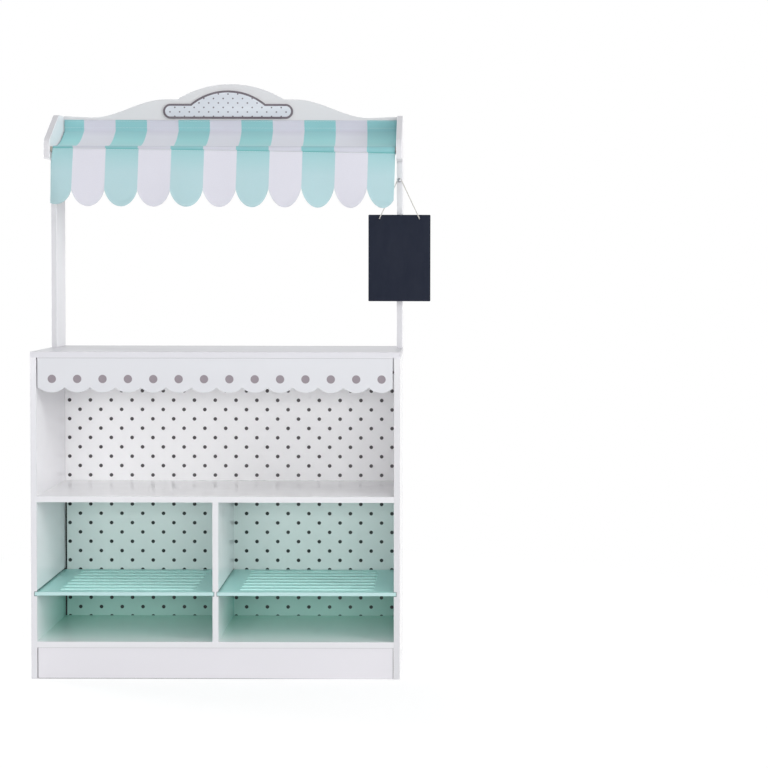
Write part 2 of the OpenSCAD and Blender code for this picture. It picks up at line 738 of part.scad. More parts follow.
left_side_panel();
right_side_panel();
countertop();
middle_shelf();
bottom_shelf();
centre_divider();
kick_board();
scalloped_apron();
upper_back_panel();
lower_back_panel();
left_tray();
right_tray();
left_upright();
right_upright();
header_board();
sign_plaque();
awning_rail();
awning_tape();
awning_roof();
awning_valance();
chalkboard_peg();
chalkboard();
chalkboard_cord();
shelf_bolts();
shelf_nuts();
header_bolts();
header_nuts();
upright_dowels();
counter_dowels();
apron_dowels();
divider_dowels();
kick_dowels();
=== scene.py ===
import math

import bpy
from mathutils import Matrix, Vector


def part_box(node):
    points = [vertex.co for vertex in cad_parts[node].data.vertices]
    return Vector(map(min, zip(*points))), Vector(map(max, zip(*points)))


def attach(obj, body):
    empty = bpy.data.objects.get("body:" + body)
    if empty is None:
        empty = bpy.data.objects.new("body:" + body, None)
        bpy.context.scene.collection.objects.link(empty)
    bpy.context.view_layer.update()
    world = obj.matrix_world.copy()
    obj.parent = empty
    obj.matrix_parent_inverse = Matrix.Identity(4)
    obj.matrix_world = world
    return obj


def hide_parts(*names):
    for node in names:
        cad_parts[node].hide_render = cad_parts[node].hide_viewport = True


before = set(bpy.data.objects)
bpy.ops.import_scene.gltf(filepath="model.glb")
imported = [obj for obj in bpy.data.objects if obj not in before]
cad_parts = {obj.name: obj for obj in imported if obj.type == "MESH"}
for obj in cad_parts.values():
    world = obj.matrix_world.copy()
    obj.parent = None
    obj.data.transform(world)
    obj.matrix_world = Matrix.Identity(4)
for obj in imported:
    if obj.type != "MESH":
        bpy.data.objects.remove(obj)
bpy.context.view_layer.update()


# Camera: where the photograph was taken from, a little above the countertop and to the right
# of the stall's middle, with a long lens that looks straight at the back panels.
bpy.ops.object.select_all(action="DESELECT")
bpy.ops.object.camera_add(
    location=(0.459, -3.917, 0.8444),
    rotation=(math.radians(88.2), math.radians(-0.1215), 0),
)
camera = bpy.context.active_object
camera.name = "stall_camera"
camera.data.sensor_width = 36
camera.data.lens = 87.22
camera.data.shift_x = -0.0751
camera.data.shift_y = -0.0788
bpy.context.scene.camera = camera
bpy.context.scene.view_settings.view_transform = "Standard"


# Side panels: two fibreboards that stand on the floor, routed with a groove for a tray, and
# bored for the shelves' bolts. They are sprayed with white lacquer and rubbed round at the edges.
# Painted shadow lies along the grooves' upper lips and round their mouths, painted shade on the
# front edges, and the trays' painted mint bounce light inside the tray bays.
board_ease = 0.0008


def work_on(piece):
    """Leave nothing else selected, so that the operators act on this piece alone."""
    bpy.ops.object.select_all(action="DESELECT")
    piece.select_set(True)
    bpy.context.view_layer.objects.active = piece


def rubbed_board(node, piece_name, ease):
    """A copy of a sawn board, merged to whole faces, with its edges rubbed round."""
    board = bpy.data.objects.new(piece_name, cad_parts[node].data.copy())
    bpy.context.collection.objects.link(board)
    work_on(board)
    bpy.ops.object.mode_set(mode="EDIT")
    bpy.ops.mesh.select_all(action="SELECT")
    bpy.ops.mesh.remove_doubles(threshold=0.00001)
    bpy.ops.mesh.dissolve_limited(angle_limit=math.radians(0.3))
    bpy.ops.object.mode_set(mode="OBJECT")
    rub = board.modifiers.new("rubbed_edges", "BEVEL")
    rub.width = ease
    rub.segments = 2
    rub.limit_method = "ANGLE"
    rub.angle_limit = math.radians(40)
    bpy.ops.object.modifier_apply(modifier=rub.name)
    bpy.ops.object.shade_smooth_by_angle(angle=math.radians(50))
    flat = board.modifiers.new("flat_faces", "WEIGHTED_NORMAL")
    flat.weight = 100
    flat.keep_sharp = True
    bpy.ops.object.modifier_apply(modifier=flat.name)
    return board


def finished(piece, finish):
    """One finish all over the piece."""
    piece.data.materials.clear()
    piece.data.materials.append(finish)


def join(tree, shader, sockets):
    """Set each of a shader node's sockets to a value, or join it to another node."""
    for name, value in sockets.items():
        if isinstance(value, bpy.types.Node):
            value = value.outputs[0]
        if isinstance(value, bpy.types.NodeSocket):
            tree.links.new(value, shader.inputs[name])
        else:
            shader.inputs[name].default_value = value


def add(tree, kind, sockets, **settings):
    """A new shader node with its settings and its sockets."""
    made = tree.nodes.new("ShaderNode" + kind)
    for name, value in settings.items():
        setattr(made, name, value)
    join(tree, made, sockets)
    return made


def start_finish(name, coordinates="Object"):
    """A new material, with its node tree, its surface and the coordinates it follows."""
    finish = bpy.data.materials.new(name)
    finish.use_nodes = True
    tree = finish.node_tree
    place = tree.nodes.new("ShaderNodeTexCoord").outputs[coordinates]
    return finish, tree, tree.nodes["Principled BSDF"], place


def paint(colour, share):
    """A colour made lighter or darker, with full opacity."""
    return (*(min(1, c * share) for c in colour), 1)


def lacquer(name, colour, rough, gleam=0.5):
    """Sprayed lacquer: faint clouds in the colour, rubbed patches, orange peel."""
    finish, tree, surface, place = start_finish(name)
    clouds = add(tree, "TexNoise", {"Vector": place, "Scale": 5, "Detail": 3})
    tint = add(tree, "MixRGB", {
        "Fac": clouds, "Color1": paint(colour, 0.985), "Color2": paint(colour, 1.015)})
    rubs = add(tree, "TexNoise", {"Vector": place, "Scale": 18, "Detail": 3})
    gloss = add(tree, "MapRange", {
        "Value": rubs, "From Min": 0.3, "From Max": 0.7, "To Min": rough, "To Max": rough + 0.03})
    peel = add(tree, "TexNoise", {"Vector": place, "Scale": 2200, "Detail": 1})
    skin = add(tree, "Bump", {"Height": peel, "Strength": 0.01, "Distance": 0.0002})
    join(tree, surface, {
        "Base Color": tint, "Roughness": gloss, "Normal": skin, "Specular IOR Level": gleam})
    return finish, tree, surface, place, tint


def parts_of(tree, place):
    """A place's three parts, and how far it is from the middle to either side."""
    spot = add(tree, "SeparateXYZ", {"Vector": place})
    across, back, up = (spot.outputs[axis] for axis in "XYZ")
    aside = add(tree, "Math", {0: across}, operation="ABSOLUTE")
    return across, back, up, aside


def under_limit(tree, value, limit):
    """1 where a shader value is under a limit and 0 elsewhere."""
    return add(tree, "Math", {0: value, 1: limit}, operation="LESS_THAN")


def over_limit(tree, value, limit):
    """1 where a shader value is over a limit and 0 elsewhere."""
    return add(tree, "Math", {0: value, 1: limit}, operation="GREATER_THAN")


def near(tree, value, middle, reach):
    """1 where a shader value is within reach of a middle one and 0 elsewhere."""
    return add(tree, "Math", {0: value, 1: middle, 2: reach}, operation="COMPARE")


def times(tree, *factors):
    """The product of several shader values."""
    product = factors[0]
    for factor in factors[1:]:
        product = add(tree, "Math", {0: product, 1: factor}, operation="MULTIPLY")
    return product


bay_low, bay_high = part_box("bottom_shelf")
bay_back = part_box("lower_back_panel")[0].y
bay_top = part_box("middle_shelf")[0].z
bay_margin = 0.001
bay_overlap = 0.0005
tray_low, tray_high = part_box("left_tray")
tray_middle, tray_t = (tray_low.z + tray_high.z) / 2, tray_high.z - tray_low.z
# Painted mint bounce light from the trays: how much of it reaches the bays' front, and the heights
# over which it fades out above a tray.
bounce_in_front = 0.05
bounce_fades_from = tray_low.z - 0.05
bounce_fades_to = tray_high.z + 0.005


def in_tray_bays(tree, place):
    """1 on the faces inside the tray bays and 0 elsewhere."""
    _, back, up, aside = parts_of(tree, place)
    return times(
        tree,
        over_limit(tree, back, bay_low.y + bay_margin),
        over_limit(tree, up, bay_low.z + bay_margin),
        under_limit(tree, aside, bay_high.x + bay_overlap),
        under_limit(tree, back, bay_back + bay_overlap),
        under_limit(tree, up, bay_top - bay_margin + bay_overlap))


def painted_mint_bounce(tree, surface, place, under, tint, over_tray):
    """Painted bounce light: the trays' mint multiplied into the white round them, stronger under a
    tray and further back.
    """
    _, back, up, _ = parts_of(tree, place)
    deep = add(tree, "MapRange", {
        "Value": back, "From Min": bay_low.y, "From Max": bay_back,
        "To Min": bounce_in_front, "To Max": 1})
    low = add(tree, "MapRange", {
        "Value": up, "From Min": bounce_fades_from, "From Max": bounce_fades_to,
        "To Min": 1, "To Max": over_tray})
    share = times(tree, in_tray_bays(tree, place), deep, low)
    bounce_light = add(tree, "MixRGB", {
        "Fac": share, "Color1": under, "Color2": paint(tint, 1)}, blend_type="MULTIPLY")
    join(tree, surface, {"Base Color": bounce_light})
    return bounce_light


def print_and_painted_light(tree, surface, under, ink, colour):
    """A colour laid over what the surface's colour was: ink and paint, and painted light and
    shade, all go on this way.
    """
    both = add(tree, "MixRGB", {"Fac": ink, "Color1": under, "Color2": paint(colour, 1)})
    join(tree, surface, {"Base Color": both})
    return both


# The front edges take the front lamp's light full on; their colours, set board by board, are
# painted shade.
edge_depth = 0.0009


def on_front_edge(tree, place, node):
    """1 on a board's front edge and 0 on its faces."""
    back = parts_of(tree, place)[1]
    return under_limit(tree, back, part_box(node)[0].y + edge_depth)


def front_edge_shading(tree, surface, place, under, node, colour):
    """A board's front edge in a colour of its own, darker than the board's true colour, as painted
    shade.
    """
    return print_and_painted_light(tree, surface, under, on_front_edge(tree, place, node), colour)


# Painted shadow along the upper lip of each tray groove and round each groove's mouth on the front
# edge.
groove_shadow_h = 0.0036
groove_shadow_shade = (0.012, 0.035, 0.035)
mouth_shadow_w = 0.0013
mouth_shadow_shade = (0.10, 0.17, 0.17)
grooved_mint_bounce = (0.45, 0.85, 0.75)
tray_middle_x, tray_w = -(tray_low.x + tray_high.x) / 2, tray_high.x - tray_low.x


def grooved_lacquer(name, node, edge_colour):
    """White lacquer on a board grooved for the trays, with painted shadow at the grooves' lips and
    mouths, and painted mint bounce light.
    """
    finish, tree, surface, place, plain = lacquer(name, (0.90, 0.895, 0.92), 0.14)
    plain = painted_mint_bounce(tree, surface, place, plain, grooved_mint_bounce, 0.06)
    _, _, up, aside = parts_of(tree, place)
    groove_shadow = times(
        tree, in_tray_bays(tree, place), near(tree, up, tray_high.z + groove_shadow_h / 2, groove_shadow_h / 2))
    plain = print_and_painted_light(tree, surface, plain, groove_shadow, groove_shadow_shade)
    edged = front_edge_shading(tree, surface, place, plain, node, edge_colour)
    mouth_shadow = times(
        tree,
        near(tree, aside, tray_middle_x, tray_w / 2 + mouth_shadow_w),
        near(tree, up, tray_middle, tray_t / 2 + mouth_shadow_w),
        on_front_edge(tree, place, node))
    print_and_painted_light(tree, surface, edged, mouth_shadow, mouth_shadow_shade)
    return finish


# Each board's front edge colour is painted shade; the right panel's is darker, for the stronger
# light from the right.
for node, piece_name, edge_colour in (
    ("left_side_panel", "left_side_board", (0.665, 0.66, 0.69)),
    ("right_side_panel", "right_side_board", (0.615, 0.61, 0.635)),
):
    side = rubbed_board(node, piece_name, board_ease)
    finished(side, grooved_lacquer(piece_name + "_lacquer", node, edge_colour))
    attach(side, "stall")
    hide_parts(node)


# Shelves, divider and kick board: the same white board, doweled and bolted between the side
# panels. The shelves' upper faces are polished a little by the goods that slide on them, and are
# painted lighter as painted light. The kick board's face is painted darker as painted shade, with
# painted shadow in its joints at its top and ends and a painted contact shadow along its foot.
shelf_mint_bounce = (0.42, 0.76, 0.64)


def shelf_lacquer(name, node, edge_colour):
    """White lacquer on a shelf, glossier than on the other boards, its white painted lighter as
    painted light.
    """
    finish, tree, surface, place, plain = lacquer(name, (0.95, 0.95, 0.955), 0.17, 0.65)
    plain = painted_mint_bounce(tree, surface, place, plain, shelf_mint_bounce, 0.3)
    front_edge_shading(tree, surface, place, plain, node, edge_colour)
    return finish


# Painted shadow in the joints where one board lies on another.
joint_w = 0.001
joint_shadow_shade = (0.42, 0.42, 0.44)


def joint_shadow_line(tree, surface, place, under, node):
    """Painted shadow in the joint along a board's upper edge, where another board lies on it."""
    up = parts_of(tree, place)[2]
    joint = over_limit(tree, up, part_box(node)[1].z - joint_w)
    return print_and_painted_light(tree, surface, under, joint, joint_shadow_shade)


# Painted contact shadow along the kick board's foot, painted shadow in the joints at its ends, and
# where the foot shadow fades out to the right.
foot_h = 0.0013
foot_shadow_shade = (0.28, 0.275, 0.29)
end_joint_shadow = (0.34, 0.34, 0.36)
foot_shadow_fades_from, foot_shadow_fades_to = 0.05, 0.25


def kick_lacquer(name, node, face_colour):
    """White lacquer on the kick board, with painted shadow in its joints and a painted contact
    shadow along its foot that fades out towards the right.
    """
    finish, tree, surface, place, plain = lacquer(name, face_colour, 0.2)
    plain = joint_shadow_line(tree, surface, place, plain, node)
    low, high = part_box(node)
    across, _, up, aside = parts_of(tree, place)
    plain = print_and_painted_light(tree, surface, plain, over_limit(tree, aside, high.x - joint_w), end_joint_shadow)
    foot_shadow_fade = add(tree, "MapRange", {
        "Value": across, "From Min": foot_shadow_fades_from, "From Max": foot_shadow_fades_to,
        "To Min": 1, "To Max": 0})
    foot = times(tree, under_limit(tree, up, low.z + foot_h), foot_shadow_fade)
    print_and_painted_light(tree, surface, plain, foot, foot_shadow_shade)
    return finish


# The kick board's face colour is painted darker than the other boards' white, as painted shade;
# the other colours are the front edges' painted shade.
for node, piece_name, coat, colour in (
    ("bottom_shelf", "bottom_shelf_board", shelf_lacquer, (0.69, 0.685, 0.71)),
    ("middle_shelf", "middle_shelf_board", shelf_lacquer, (0.67, 0.67, 0.695)),
    ("centre_divider", "centre_divider_board", grooved_lacquer, (0.675, 0.675, 0.70)),
    ("kick_board", "kick_board_front", kick_lacquer, (0.685, 0.67, 0.705)),
):
    board = rubbed_board(node, piece_name, board_ease)
    finished(board, coat(piece_name + "_lacquer", node, colour))
    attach(board, "stall")
    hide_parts(node)


# Back panels: thin hardboard sprung into grooves in the shelves, printed on the front with small
# grey dots in staggered rows. The print is satin, the rear is raw and brown, and the panels are
# drawn a little wider than their working size, so that no light shows beside them. The lower
# panel carries the trays' painted mint bounce light, a painted shadow strip along its left edge,
# and dots printed darker and greener than the upper panel's, as painted shade.
ink_bleed = 0.0003


def dots(tree, place, first, pitch, radius):
    """1 on a printed dot and 0 beside it, for dots set out in X and Z from the first one."""
    centred = add(tree, "Mapping", {
        "Vector": place, "Location": (-first[0], 0, -first[1]), "Scale": (1, 0, 1)})
    half = (pitch[0] / 2, 1, pitch[1] / 2)
    cell = add(
        tree, "VectorMath", {0: centred, 1: half, 2: tuple(-h for h in half)}, operation="WRAP")
    away = add(tree, "VectorMath", {0: cell}, operation="LENGTH")
    ink = add(tree, "MapRange", {
        "Value": away.outputs["Value"],
        "From Min": radius - ink_bleed, "From Max": radius + ink_bleed,
        "To Min": 1, "To Max": 0})
    return ink


def staggered_dots(tree, place, first, pitch, radius):
    """Dots in rows, with every second row set half a pitch aside."""
    between = (first[0] + pitch[0] / 2, first[1] + pitch[1] / 2)
    even = dots(tree, place, first, pitch, radius)
    odd = dots(tree, place, between, pitch, radius)
    return add(tree, "Math", {0: even, 1: odd}, operation="MAXIMUM")


panel_dot_r = 0.004
panel_spread = 1.0035
panel_mint_bounce = (0.395, 0.635, 0.575)
print_d = 0.0006
# A painted shadow strip along the lower panel's left edge, standing in for a shadow gap beside the
# side panel.
gap_shadow_w = 0.0021
gap_shadow_shade = (0.006, 0.012, 0.012)
raw_brown = (0.30, 0.20, 0.12)
# The lower panel's ink is darker and greener than the upper's, as painted shade.
for node, piece_name, first, pitch, ink in (
    ("upper_back_panel", "upper_back_print", (0.0107, 0.3844), (0.04543, 0.041),
     (0.060, 0.051, 0.056)),
    ("lower_back_panel", "lower_back_print", (0.0107, 0.3208), (0.04543, 0.04105),
     (0.015, 0.025, 0.025)),
):
    panel = rubbed_board(node, piece_name, ease=0.0003)
    for vertex in panel.data.vertices:
        vertex.co.x *= panel_spread
    finish, tree, surface, place, ground = lacquer(
        piece_name + "_board", (0.93, 0.925, 0.935), 0.28, 0.25)
    front = print_and_painted_light(
        tree, surface, ground, staggered_dots(tree, place, first, pitch, panel_dot_r), ink)
    across, back, _, _ = parts_of(tree, place)
    panel_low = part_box(node)[0]
    if node == "lower_back_panel":
        front = painted_mint_bounce(tree, surface, place, front, panel_mint_bounce, 0.45)
        gap_shadow = under_limit(tree, across, panel_low.x + gap_shadow_w)
        front = print_and_painted_light(tree, surface, front, gap_shadow, gap_shadow_shade)
    print_and_painted_light(tree, surface, front, over_limit(tree, back, panel_low.y + print_d), raw_brown)
    finished(panel, finish)
    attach(panel, "stall")
    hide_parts(node)


# Trays: thin slotted boards that slide in the grooves of the side panels and the divider.
# They are sprayed mint on all faces; the slots' walls are painted lighter as painted light, and
# the front edges painted darker as painted shade.
tray_ease = 0.0006
wall_margin = 0.0007
# Painted light on the slots' walls, which face the front lamp.
slot_wall_light = (0.53, 0.83, 0.79)
mint_lacquer, tree, surface, place, plain = lacquer("mint_lacquer", (0.40, 0.78, 0.73), 0.3)
up = parts_of(tree, place)[2]
wall = near(tree, up, tray_middle, tray_t / 2 - wall_margin)
plain = print_and_painted_light(tree, surface, plain, wall, slot_wall_light)
front_edge_shading(tree, surface, place, plain, "left_tray", (0.435, 0.63, 0.625))
for body in ("left_tray", "right_tray"):
    tray = rubbed_board(body, body + "_slats", tray_ease)
    finished(tray, mint_lacquer)
    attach(tray, body)
    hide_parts(body)


# Countertop: one white board that lies on the side panels, held by dowels from below.
# Its upper face is dulled by wiping, and its white is painted darker than the other boards' as
# painted shade.
counter = rubbed_board("countertop", "countertop_board", ease=0.001)
counter_lacquer, tree, surface, place, plain = lacquer(
    "counter_lacquer", (0.60, 0.595, 0.625), 0.3, 0.2)
front_edge_shading(tree, surface, place, plain, "countertop", (0.615, 0.61, 0.645))
finished(counter, counter_lacquer)
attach(counter, "stall")
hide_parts("countertop")


# Apron: a board with a scalloped lower edge, doweled up into the countertop. Each scallop
# carries one printed mauve dot, and the row of scallops stands a little to the right.
scallop_count = 14
scallop_h = 0.025
apron_low, apron_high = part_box("scalloped_apron")
scallop_w = (apron_high.x - apron_low.x) / scallop_count
scallop_shift = 0.0033
apron_dot_r = 0.0085
apron_dot_z = 0.612
mauve_ink = (0.235, 0.200, 0.226)
apron = rubbed_board("scalloped_apron", "scalloped_apron_board", board_ease)
for corner in apron.data.vertices:
    from_end = min(corner.co.x - apron_low.x, apron_high.x - corner.co.x)
    if corner.co.z < apron_low.z + scallop_h:
        corner.co.x += scallop_shift * min(1, from_end / (scallop_w / 2))
# The apron's white is painted darker than the other boards' as painted shade, with a painted
# shadow in the joint under the countertop.
apron_lacquer, tree, surface, place, ground = lacquer(
    "apron_lacquer", (0.595, 0.60, 0.63), 0.22, 0.25)
first_x = apron_low.x + scallop_w / 2 + scallop_shift
row = dots(tree, place, (first_x, apron_dot_z), (scallop_w, 1), apron_dot_r)
ground = print_and_painted_light(tree, surface, ground, row, mauve_ink)
joint_shadow_line(tree, surface, place, ground, "scalloped_apron")
finished(apron, apron_lacquer)
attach(apron, "stall")
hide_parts("scalloped_apron")


# Uprights: a post and its curved bracket sawn from one white board, one at each side, with
# the dowels of the side panels running up through the countertop into them. The edges are painted
# darker than the faces as painted shade, and lighter under the bracket, where its shadow falls,
# as painted light.
bracket_h = 0.099
edge_margin = 0.0006
post_lacquer, tree, surface, place, plain = lacquer(
    "post_lacquer", (0.88, 0.875, 0.90), 0.3, 0.15)
post_low, post_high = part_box("right_upright")
bracket_low = post_high.z - bracket_h
_, _, up, aside = parts_of(tree, place)
post_edge = near(
    tree, aside, (post_low.x + post_high.x) / 2, (post_high.x - post_low.x) / 2 - edge_margin)
under_bracket = under_limit(tree, up, bracket_low + edge_depth)
edged = print_and_painted_light(tree, surface, plain, post_edge, (0.615, 0.61, 0.635))
# Painted light on the post's edges under the bracket and on the bracket's underside, where shadow
# falls.
for below, fade, colour in (
    (0.130, 0.04, (0.72, 0.715, 0.735)), (0.0008, 0.0003, (0.90, 0.895, 0.91)),
):
    above = add(tree, "MapRange", {
        "Value": up, "From Min": bracket_low - below, "From Max": bracket_low - below + fade,
        "To Min": 0, "To Max": 1})
    lit_in_bracket_shade = times(tree, post_edge, above, under_bracket)
    edged = print_and_painted_light(tree, surface, edged, lit_in_bracket_shade, colour)
for node, piece_name in (
    ("left_upright", "left_upright_board"),
    ("right_upright", "right_upright_board"),
):
    upright = rubbed_board(node, piece_name, board_ease)
    finished(upright, post_lacquer)
    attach(upright, "stall")
    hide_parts(node)


# Header: a white board with an arched and scrolled upper edge, bolted between the uprights
# at their rear edges.
# The header's white is painted grey, darker than the other boards', as painted shade.
header = rubbed_board("header_board", "header_scroll_board", board_ease)
finished(header, lacquer("header_lacquer", (0.62, 0.62, 0.635), 0.3, 0.1)[0])
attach(header, "stall")
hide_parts("header_board")


# Sign plaque: a thin arched board glued to the header, printed pale lavender with tiny dots
# inside a dark border. The field lies a hair below the border.
border_w = 0.004
field_sunk = 0.0003
spot_r = 0.00175
spot_pitch = (0.021, 0.0194)
spot_rise = 0.0145
plaque = rubbed_board("sign_plaque", "sign_plaque_board", ease=0.0004)
border_ink = lacquer("plaque_border", (0.080, 0.061, 0.080), 0.35)[0]
field_print, tree, surface, place, ground = lacquer("plaque_field", (0.56, 0.585, 0.635), 0.35)
plaque_low, plaque_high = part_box("sign_plaque")
first_spot = ((plaque_low.x + plaque_high.x) / 2, plaque_low.z + spot_rise)
spots = staggered_dots(tree, place, first_spot, spot_pitch, spot_r)
print_and_painted_light(tree, surface, ground, spots, (0.12, 0.10, 0.12))
finished(plaque, border_ink)
plaque.data.materials.append(field_print)
work_on(plaque)
bpy.ops.object.mode_set(mode="EDIT")
bpy.ops.mesh.select_mode(type="FACE")
bpy.ops.mesh.select_all(action="DESELECT")
bpy.ops.object.mode_set(mode="OBJECT")
for face in plaque.data.polygons:
    face.select = face.normal.y < -0.99
bpy.ops.object.mode_set(mode="EDIT")
bpy.ops.mesh.inset(thickness=border_w, depth=-field_sunk, use_boundary=True)
plaque.active_material_index = 1
bpy.ops.object.material_slot_assign()
bpy.ops.object.mode_set(mode="OBJECT")
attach(plaque, "stall")
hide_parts("sign_plaque")


# Front rail: a bare wooden rod let into sockets in the two brackets, inside the cloth's
# sleeve. It keeps its CAD shape and shows its grain only at the ends.
def wood(name, along, dark, light):
    """Turned wood, its grain drawn out along one axis."""
    finish, tree, surface, place = start_finish(name)
    drawn = add(tree, "Mapping", {"Vector": place, "Scale": along})
    grain = add(tree, "TexNoise", {"Vector": drawn, "Scale": 5, "Detail": 6, "Distortion": 0.6})
    tint = add(tree, "MixRGB", {
        "Fac": grain, "Color1": paint(dark, 1), "Color2": paint(light, 1)})
    pores = add(tree, "Bump", {"Height": grain, "Strength": 0.3, "Distance": 0.0003})
    join(tree, surface, {"Base Color": tint, "Normal": pores, "Roughness": 0.6})
    return finish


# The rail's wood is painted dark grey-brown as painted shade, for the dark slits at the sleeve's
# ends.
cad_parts["awning_rail"].material_slots[0].material = wood(
    "rail_wood", (1, 30, 30), (0.28, 0.25, 0.22), (0.42, 0.39, 0.35))


# Hook-and-loop tape: a woven strip stuck to the header's front face, with a field of small
# hooks between two flat selvages. The cloth's upper edge is pressed onto it.
def cloth_grid(name, columns, rows, place_of, weave_of):
    """A grid of cloth: each crossing goes to its place and keeps its spot in the weave."""
    bpy.ops.object.select_all(action="DESELECT")
    bpy.ops.mesh.primitive_grid_add(x_subdivisions=columns, y_subdivisions=rows, size=1)
    cloth = bpy.context.active_object
    cloth.name = name
    cloth.data.name = name
    spots = cloth.data.uv_layers.active.data
    crossings = [
        (round((v.co.x + 0.5) * columns), round((v.co.y + 0.5) * rows))
        for v in cloth.data.vertices
    ]
    for vertex, crossing in zip(cloth.data.vertices, crossings):
        vertex.co = place_of(*crossing)
    for loop in cloth.data.loops:
        spots[loop.index].uv = weave_of(*crossings[loop.vertex_index])
    return cloth


def thicken(cloth, thickness):
    """Give a grid of cloth its thickness; one with a hem gets half of it outside the hem."""
    work_on(cloth)
    body = cloth.modifiers.new("cloth_body", "SOLIDIFY")
    body.thickness = thickness
    body.offset = 0
    if "hem" in cloth.vertex_groups:
        body.vertex_group = "hem"
        body.thickness_vertex_group = 0.5
    bpy.ops.object.modifier_apply(modifier=body.name)
    bpy.ops.object.shade_smooth()


tape_low, tape_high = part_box("awning_tape")
tape_size = tape_high - tape_low
tape_columns, tape_rows = 120, 12
selvage_rows = 2
hook_h, hook_room = 0.0002, 0.0005


def tape_place(i, j):
    """A crossing of the tape, with a hook on every second one between the selvages."""
    hooked = selvage_rows <= j <= tape_rows - selvage_rows and (i + j) % 2
    return (
        tape_low.x + tape_size.x * i / tape_columns,
        (tape_low.y + tape_high.y) / 2 - (hook_h if hooked else 0),
        tape_low.z + tape_size.z * j / tape_rows,
    )


def tape_weave(i, j):
    return tape_size.x * i / tape_columns, tape_size.z * j / tape_rows


def fibrous(name, scale, detail, shades, relief, rough):
    """Fibres too fine to draw one by one: two mottled shades and a rough skin."""
    finish, tree, surface, place = start_finish(name)
    fibres = add(tree, "TexNoise", {"Vector": place, "Scale": scale, "Detail": detail})
    strength, depth = relief
    skin = add(tree, "Bump", {"Height": fibres, "Strength": strength, "Distance": depth})
    dark, light = shades
    tint = add(tree, "MixRGB", {
        "Fac": fibres, "Color1": paint(dark, 1), "Color2": paint(light, 1)})
    join(tree, surface, {"Base Color": tint, "Normal": skin, "Roughness": rough})
    return finish, surface


tape = cloth_grid("hook_tape_strip", tape_columns, tape_rows, tape_place, tape_weave)
thicken(tape, tape_size.y - hook_room)
tape_shades = ((0.62, 0.62, 0.62), (0.82, 0.82, 0.82))
finished(tape, fibrous("tape_nylon", 900, 2, tape_shades, (0.6, 0.0004), 0.8)[0])
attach(tape, "stall")
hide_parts("awning_tape")


# Awning roof: plain woven cotton in mint and white stripes. Its upper hem is pressed onto the
# tape, it sags to the rail, and its front edge is sewn back on itself as a sleeve for the rail.
roof_low, roof_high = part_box("awning_roof")
rail_low, rail_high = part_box("awning_rail")
rail_r = (rail_high.z - rail_low.z) / 2
rail_y = (rail_low.y + rail_high.y) / 2
rail_z = (rail_low.z + rail_high.z) / 2
cloth_t = 0.0009
roof_w = roof_high.x - roof_low.x
hem_gap = 0.0002
fold_drop = 0.024
roof_sag = 0.011
roof_ripples = ((0.0006, 0.022, 0.6), (0.0004, 0.0105, 2.1))
sleeve_gap = 0.0009
sleeve_slack = 0.0016
sleeve_from, sleeve_turn = 75, 325
drawn_d, drawn_zone = 0.0038, 0.07
stripe_w = 0.0689
stripes_to_middle = 4.5
stripe_middle, middle_lean = -0.011, 0.004
stripe_pitch, pitch_lean = 0.0683, 0.0004
lean_run = 0.19
band_steps, sag_steps, sleeve_steps = 6, 30, 36
roof_columns = 180
roof_rows = band_steps + sag_steps + sleeve_steps


def along_roof(x):
    """How far across the awning a place is: 0 at its left side and 1 at its right."""
    return (x - roof_low.x) / roof_w


def sleeve_point(x, degrees):
    """A place on the sleeve, which is slacker and hangs lower towards the right."""
    slack = sleeve_slack * along_roof(x)
    radius = rail_r + sleeve_gap + slack
    angle = math.radians(degrees)
    return Vector((
        x, rail_y + radius * math.cos(angle), rail_z - slack + radius * math.sin(angle)))


def drawn_in(x):
    """How far the sleeve is drawn in at the awning's left side."""
    return drawn_d * max(0, 1 - along_roof(x) / drawn_zone)


def rippled(x, ripples):
    """Several ripples together, each given by its height, its spread and its start."""
    return sum(height * math.sin(x / spread + start) for height, spread, start in ripples)


def roof_line(x):
    """The roof's middle line at one place across it, from the upper hem to the sleeve's end."""
    hem = Vector((x, tape_low.y - cloth_t / 2 - hem_gap, tape_high.z))
    fold = hem - Vector((0, 0, fold_drop))
    aside = Vector((drawn_in(x), 0, 0))
    land = sleeve_point(x, sleeve_from) + aside
    chord = (land - fold).normalized()
    sag = 2 * roof_sag + rippled(x, roof_ripples)
    pull = (fold + land) / 2 + sag * Vector((0, -chord.z, chord.y))
    line = [hem.lerp(fold, k / band_steps) for k in range(band_steps)]
    for k in range(sag_steps):
        s = k / sag_steps
        line.append((1 - s) ** 2 * fold + 2 * s * (1 - s) * pull + s * s * land)
    for k in range(sleeve_steps + 1):
        line.append(sleeve_point(x, sleeve_from + sleeve_turn * k / sleeve_steps) + aside)
    return line


roof_x = [roof_low.x + roof_w * i / roof_columns for i in range(roof_columns + 1)]
roof_lines = [roof_line(x) for x in roof_x]
roof_run = [0]
for a, b in zip(roof_lines[0], roof_lines[0][1:]):
    roof_run.append(roof_run[-1] + (b - a).length)
roof_l = roof_run[-1]


def stripe_at(x, middle, pitch):
    """The place across the stripes, in metres of cloth from the first boundary."""
    return ((x - middle) / pitch + stripes_to_middle) * stripe_w


def roof_place(i, j):
    return roof_lines[i][roof_rows - j]


def roof_weave(i, j):
    """A crossing's spot in the weave; the stripes lean a little on their way down."""
    down = roof_run[roof_rows - j]
    lean = min(1, down / lean_run)
    middle, pitch = stripe_middle + middle_lean * lean, stripe_pitch + pitch_lean * lean
    return stripe_at(roof_x[i], middle, pitch), -down


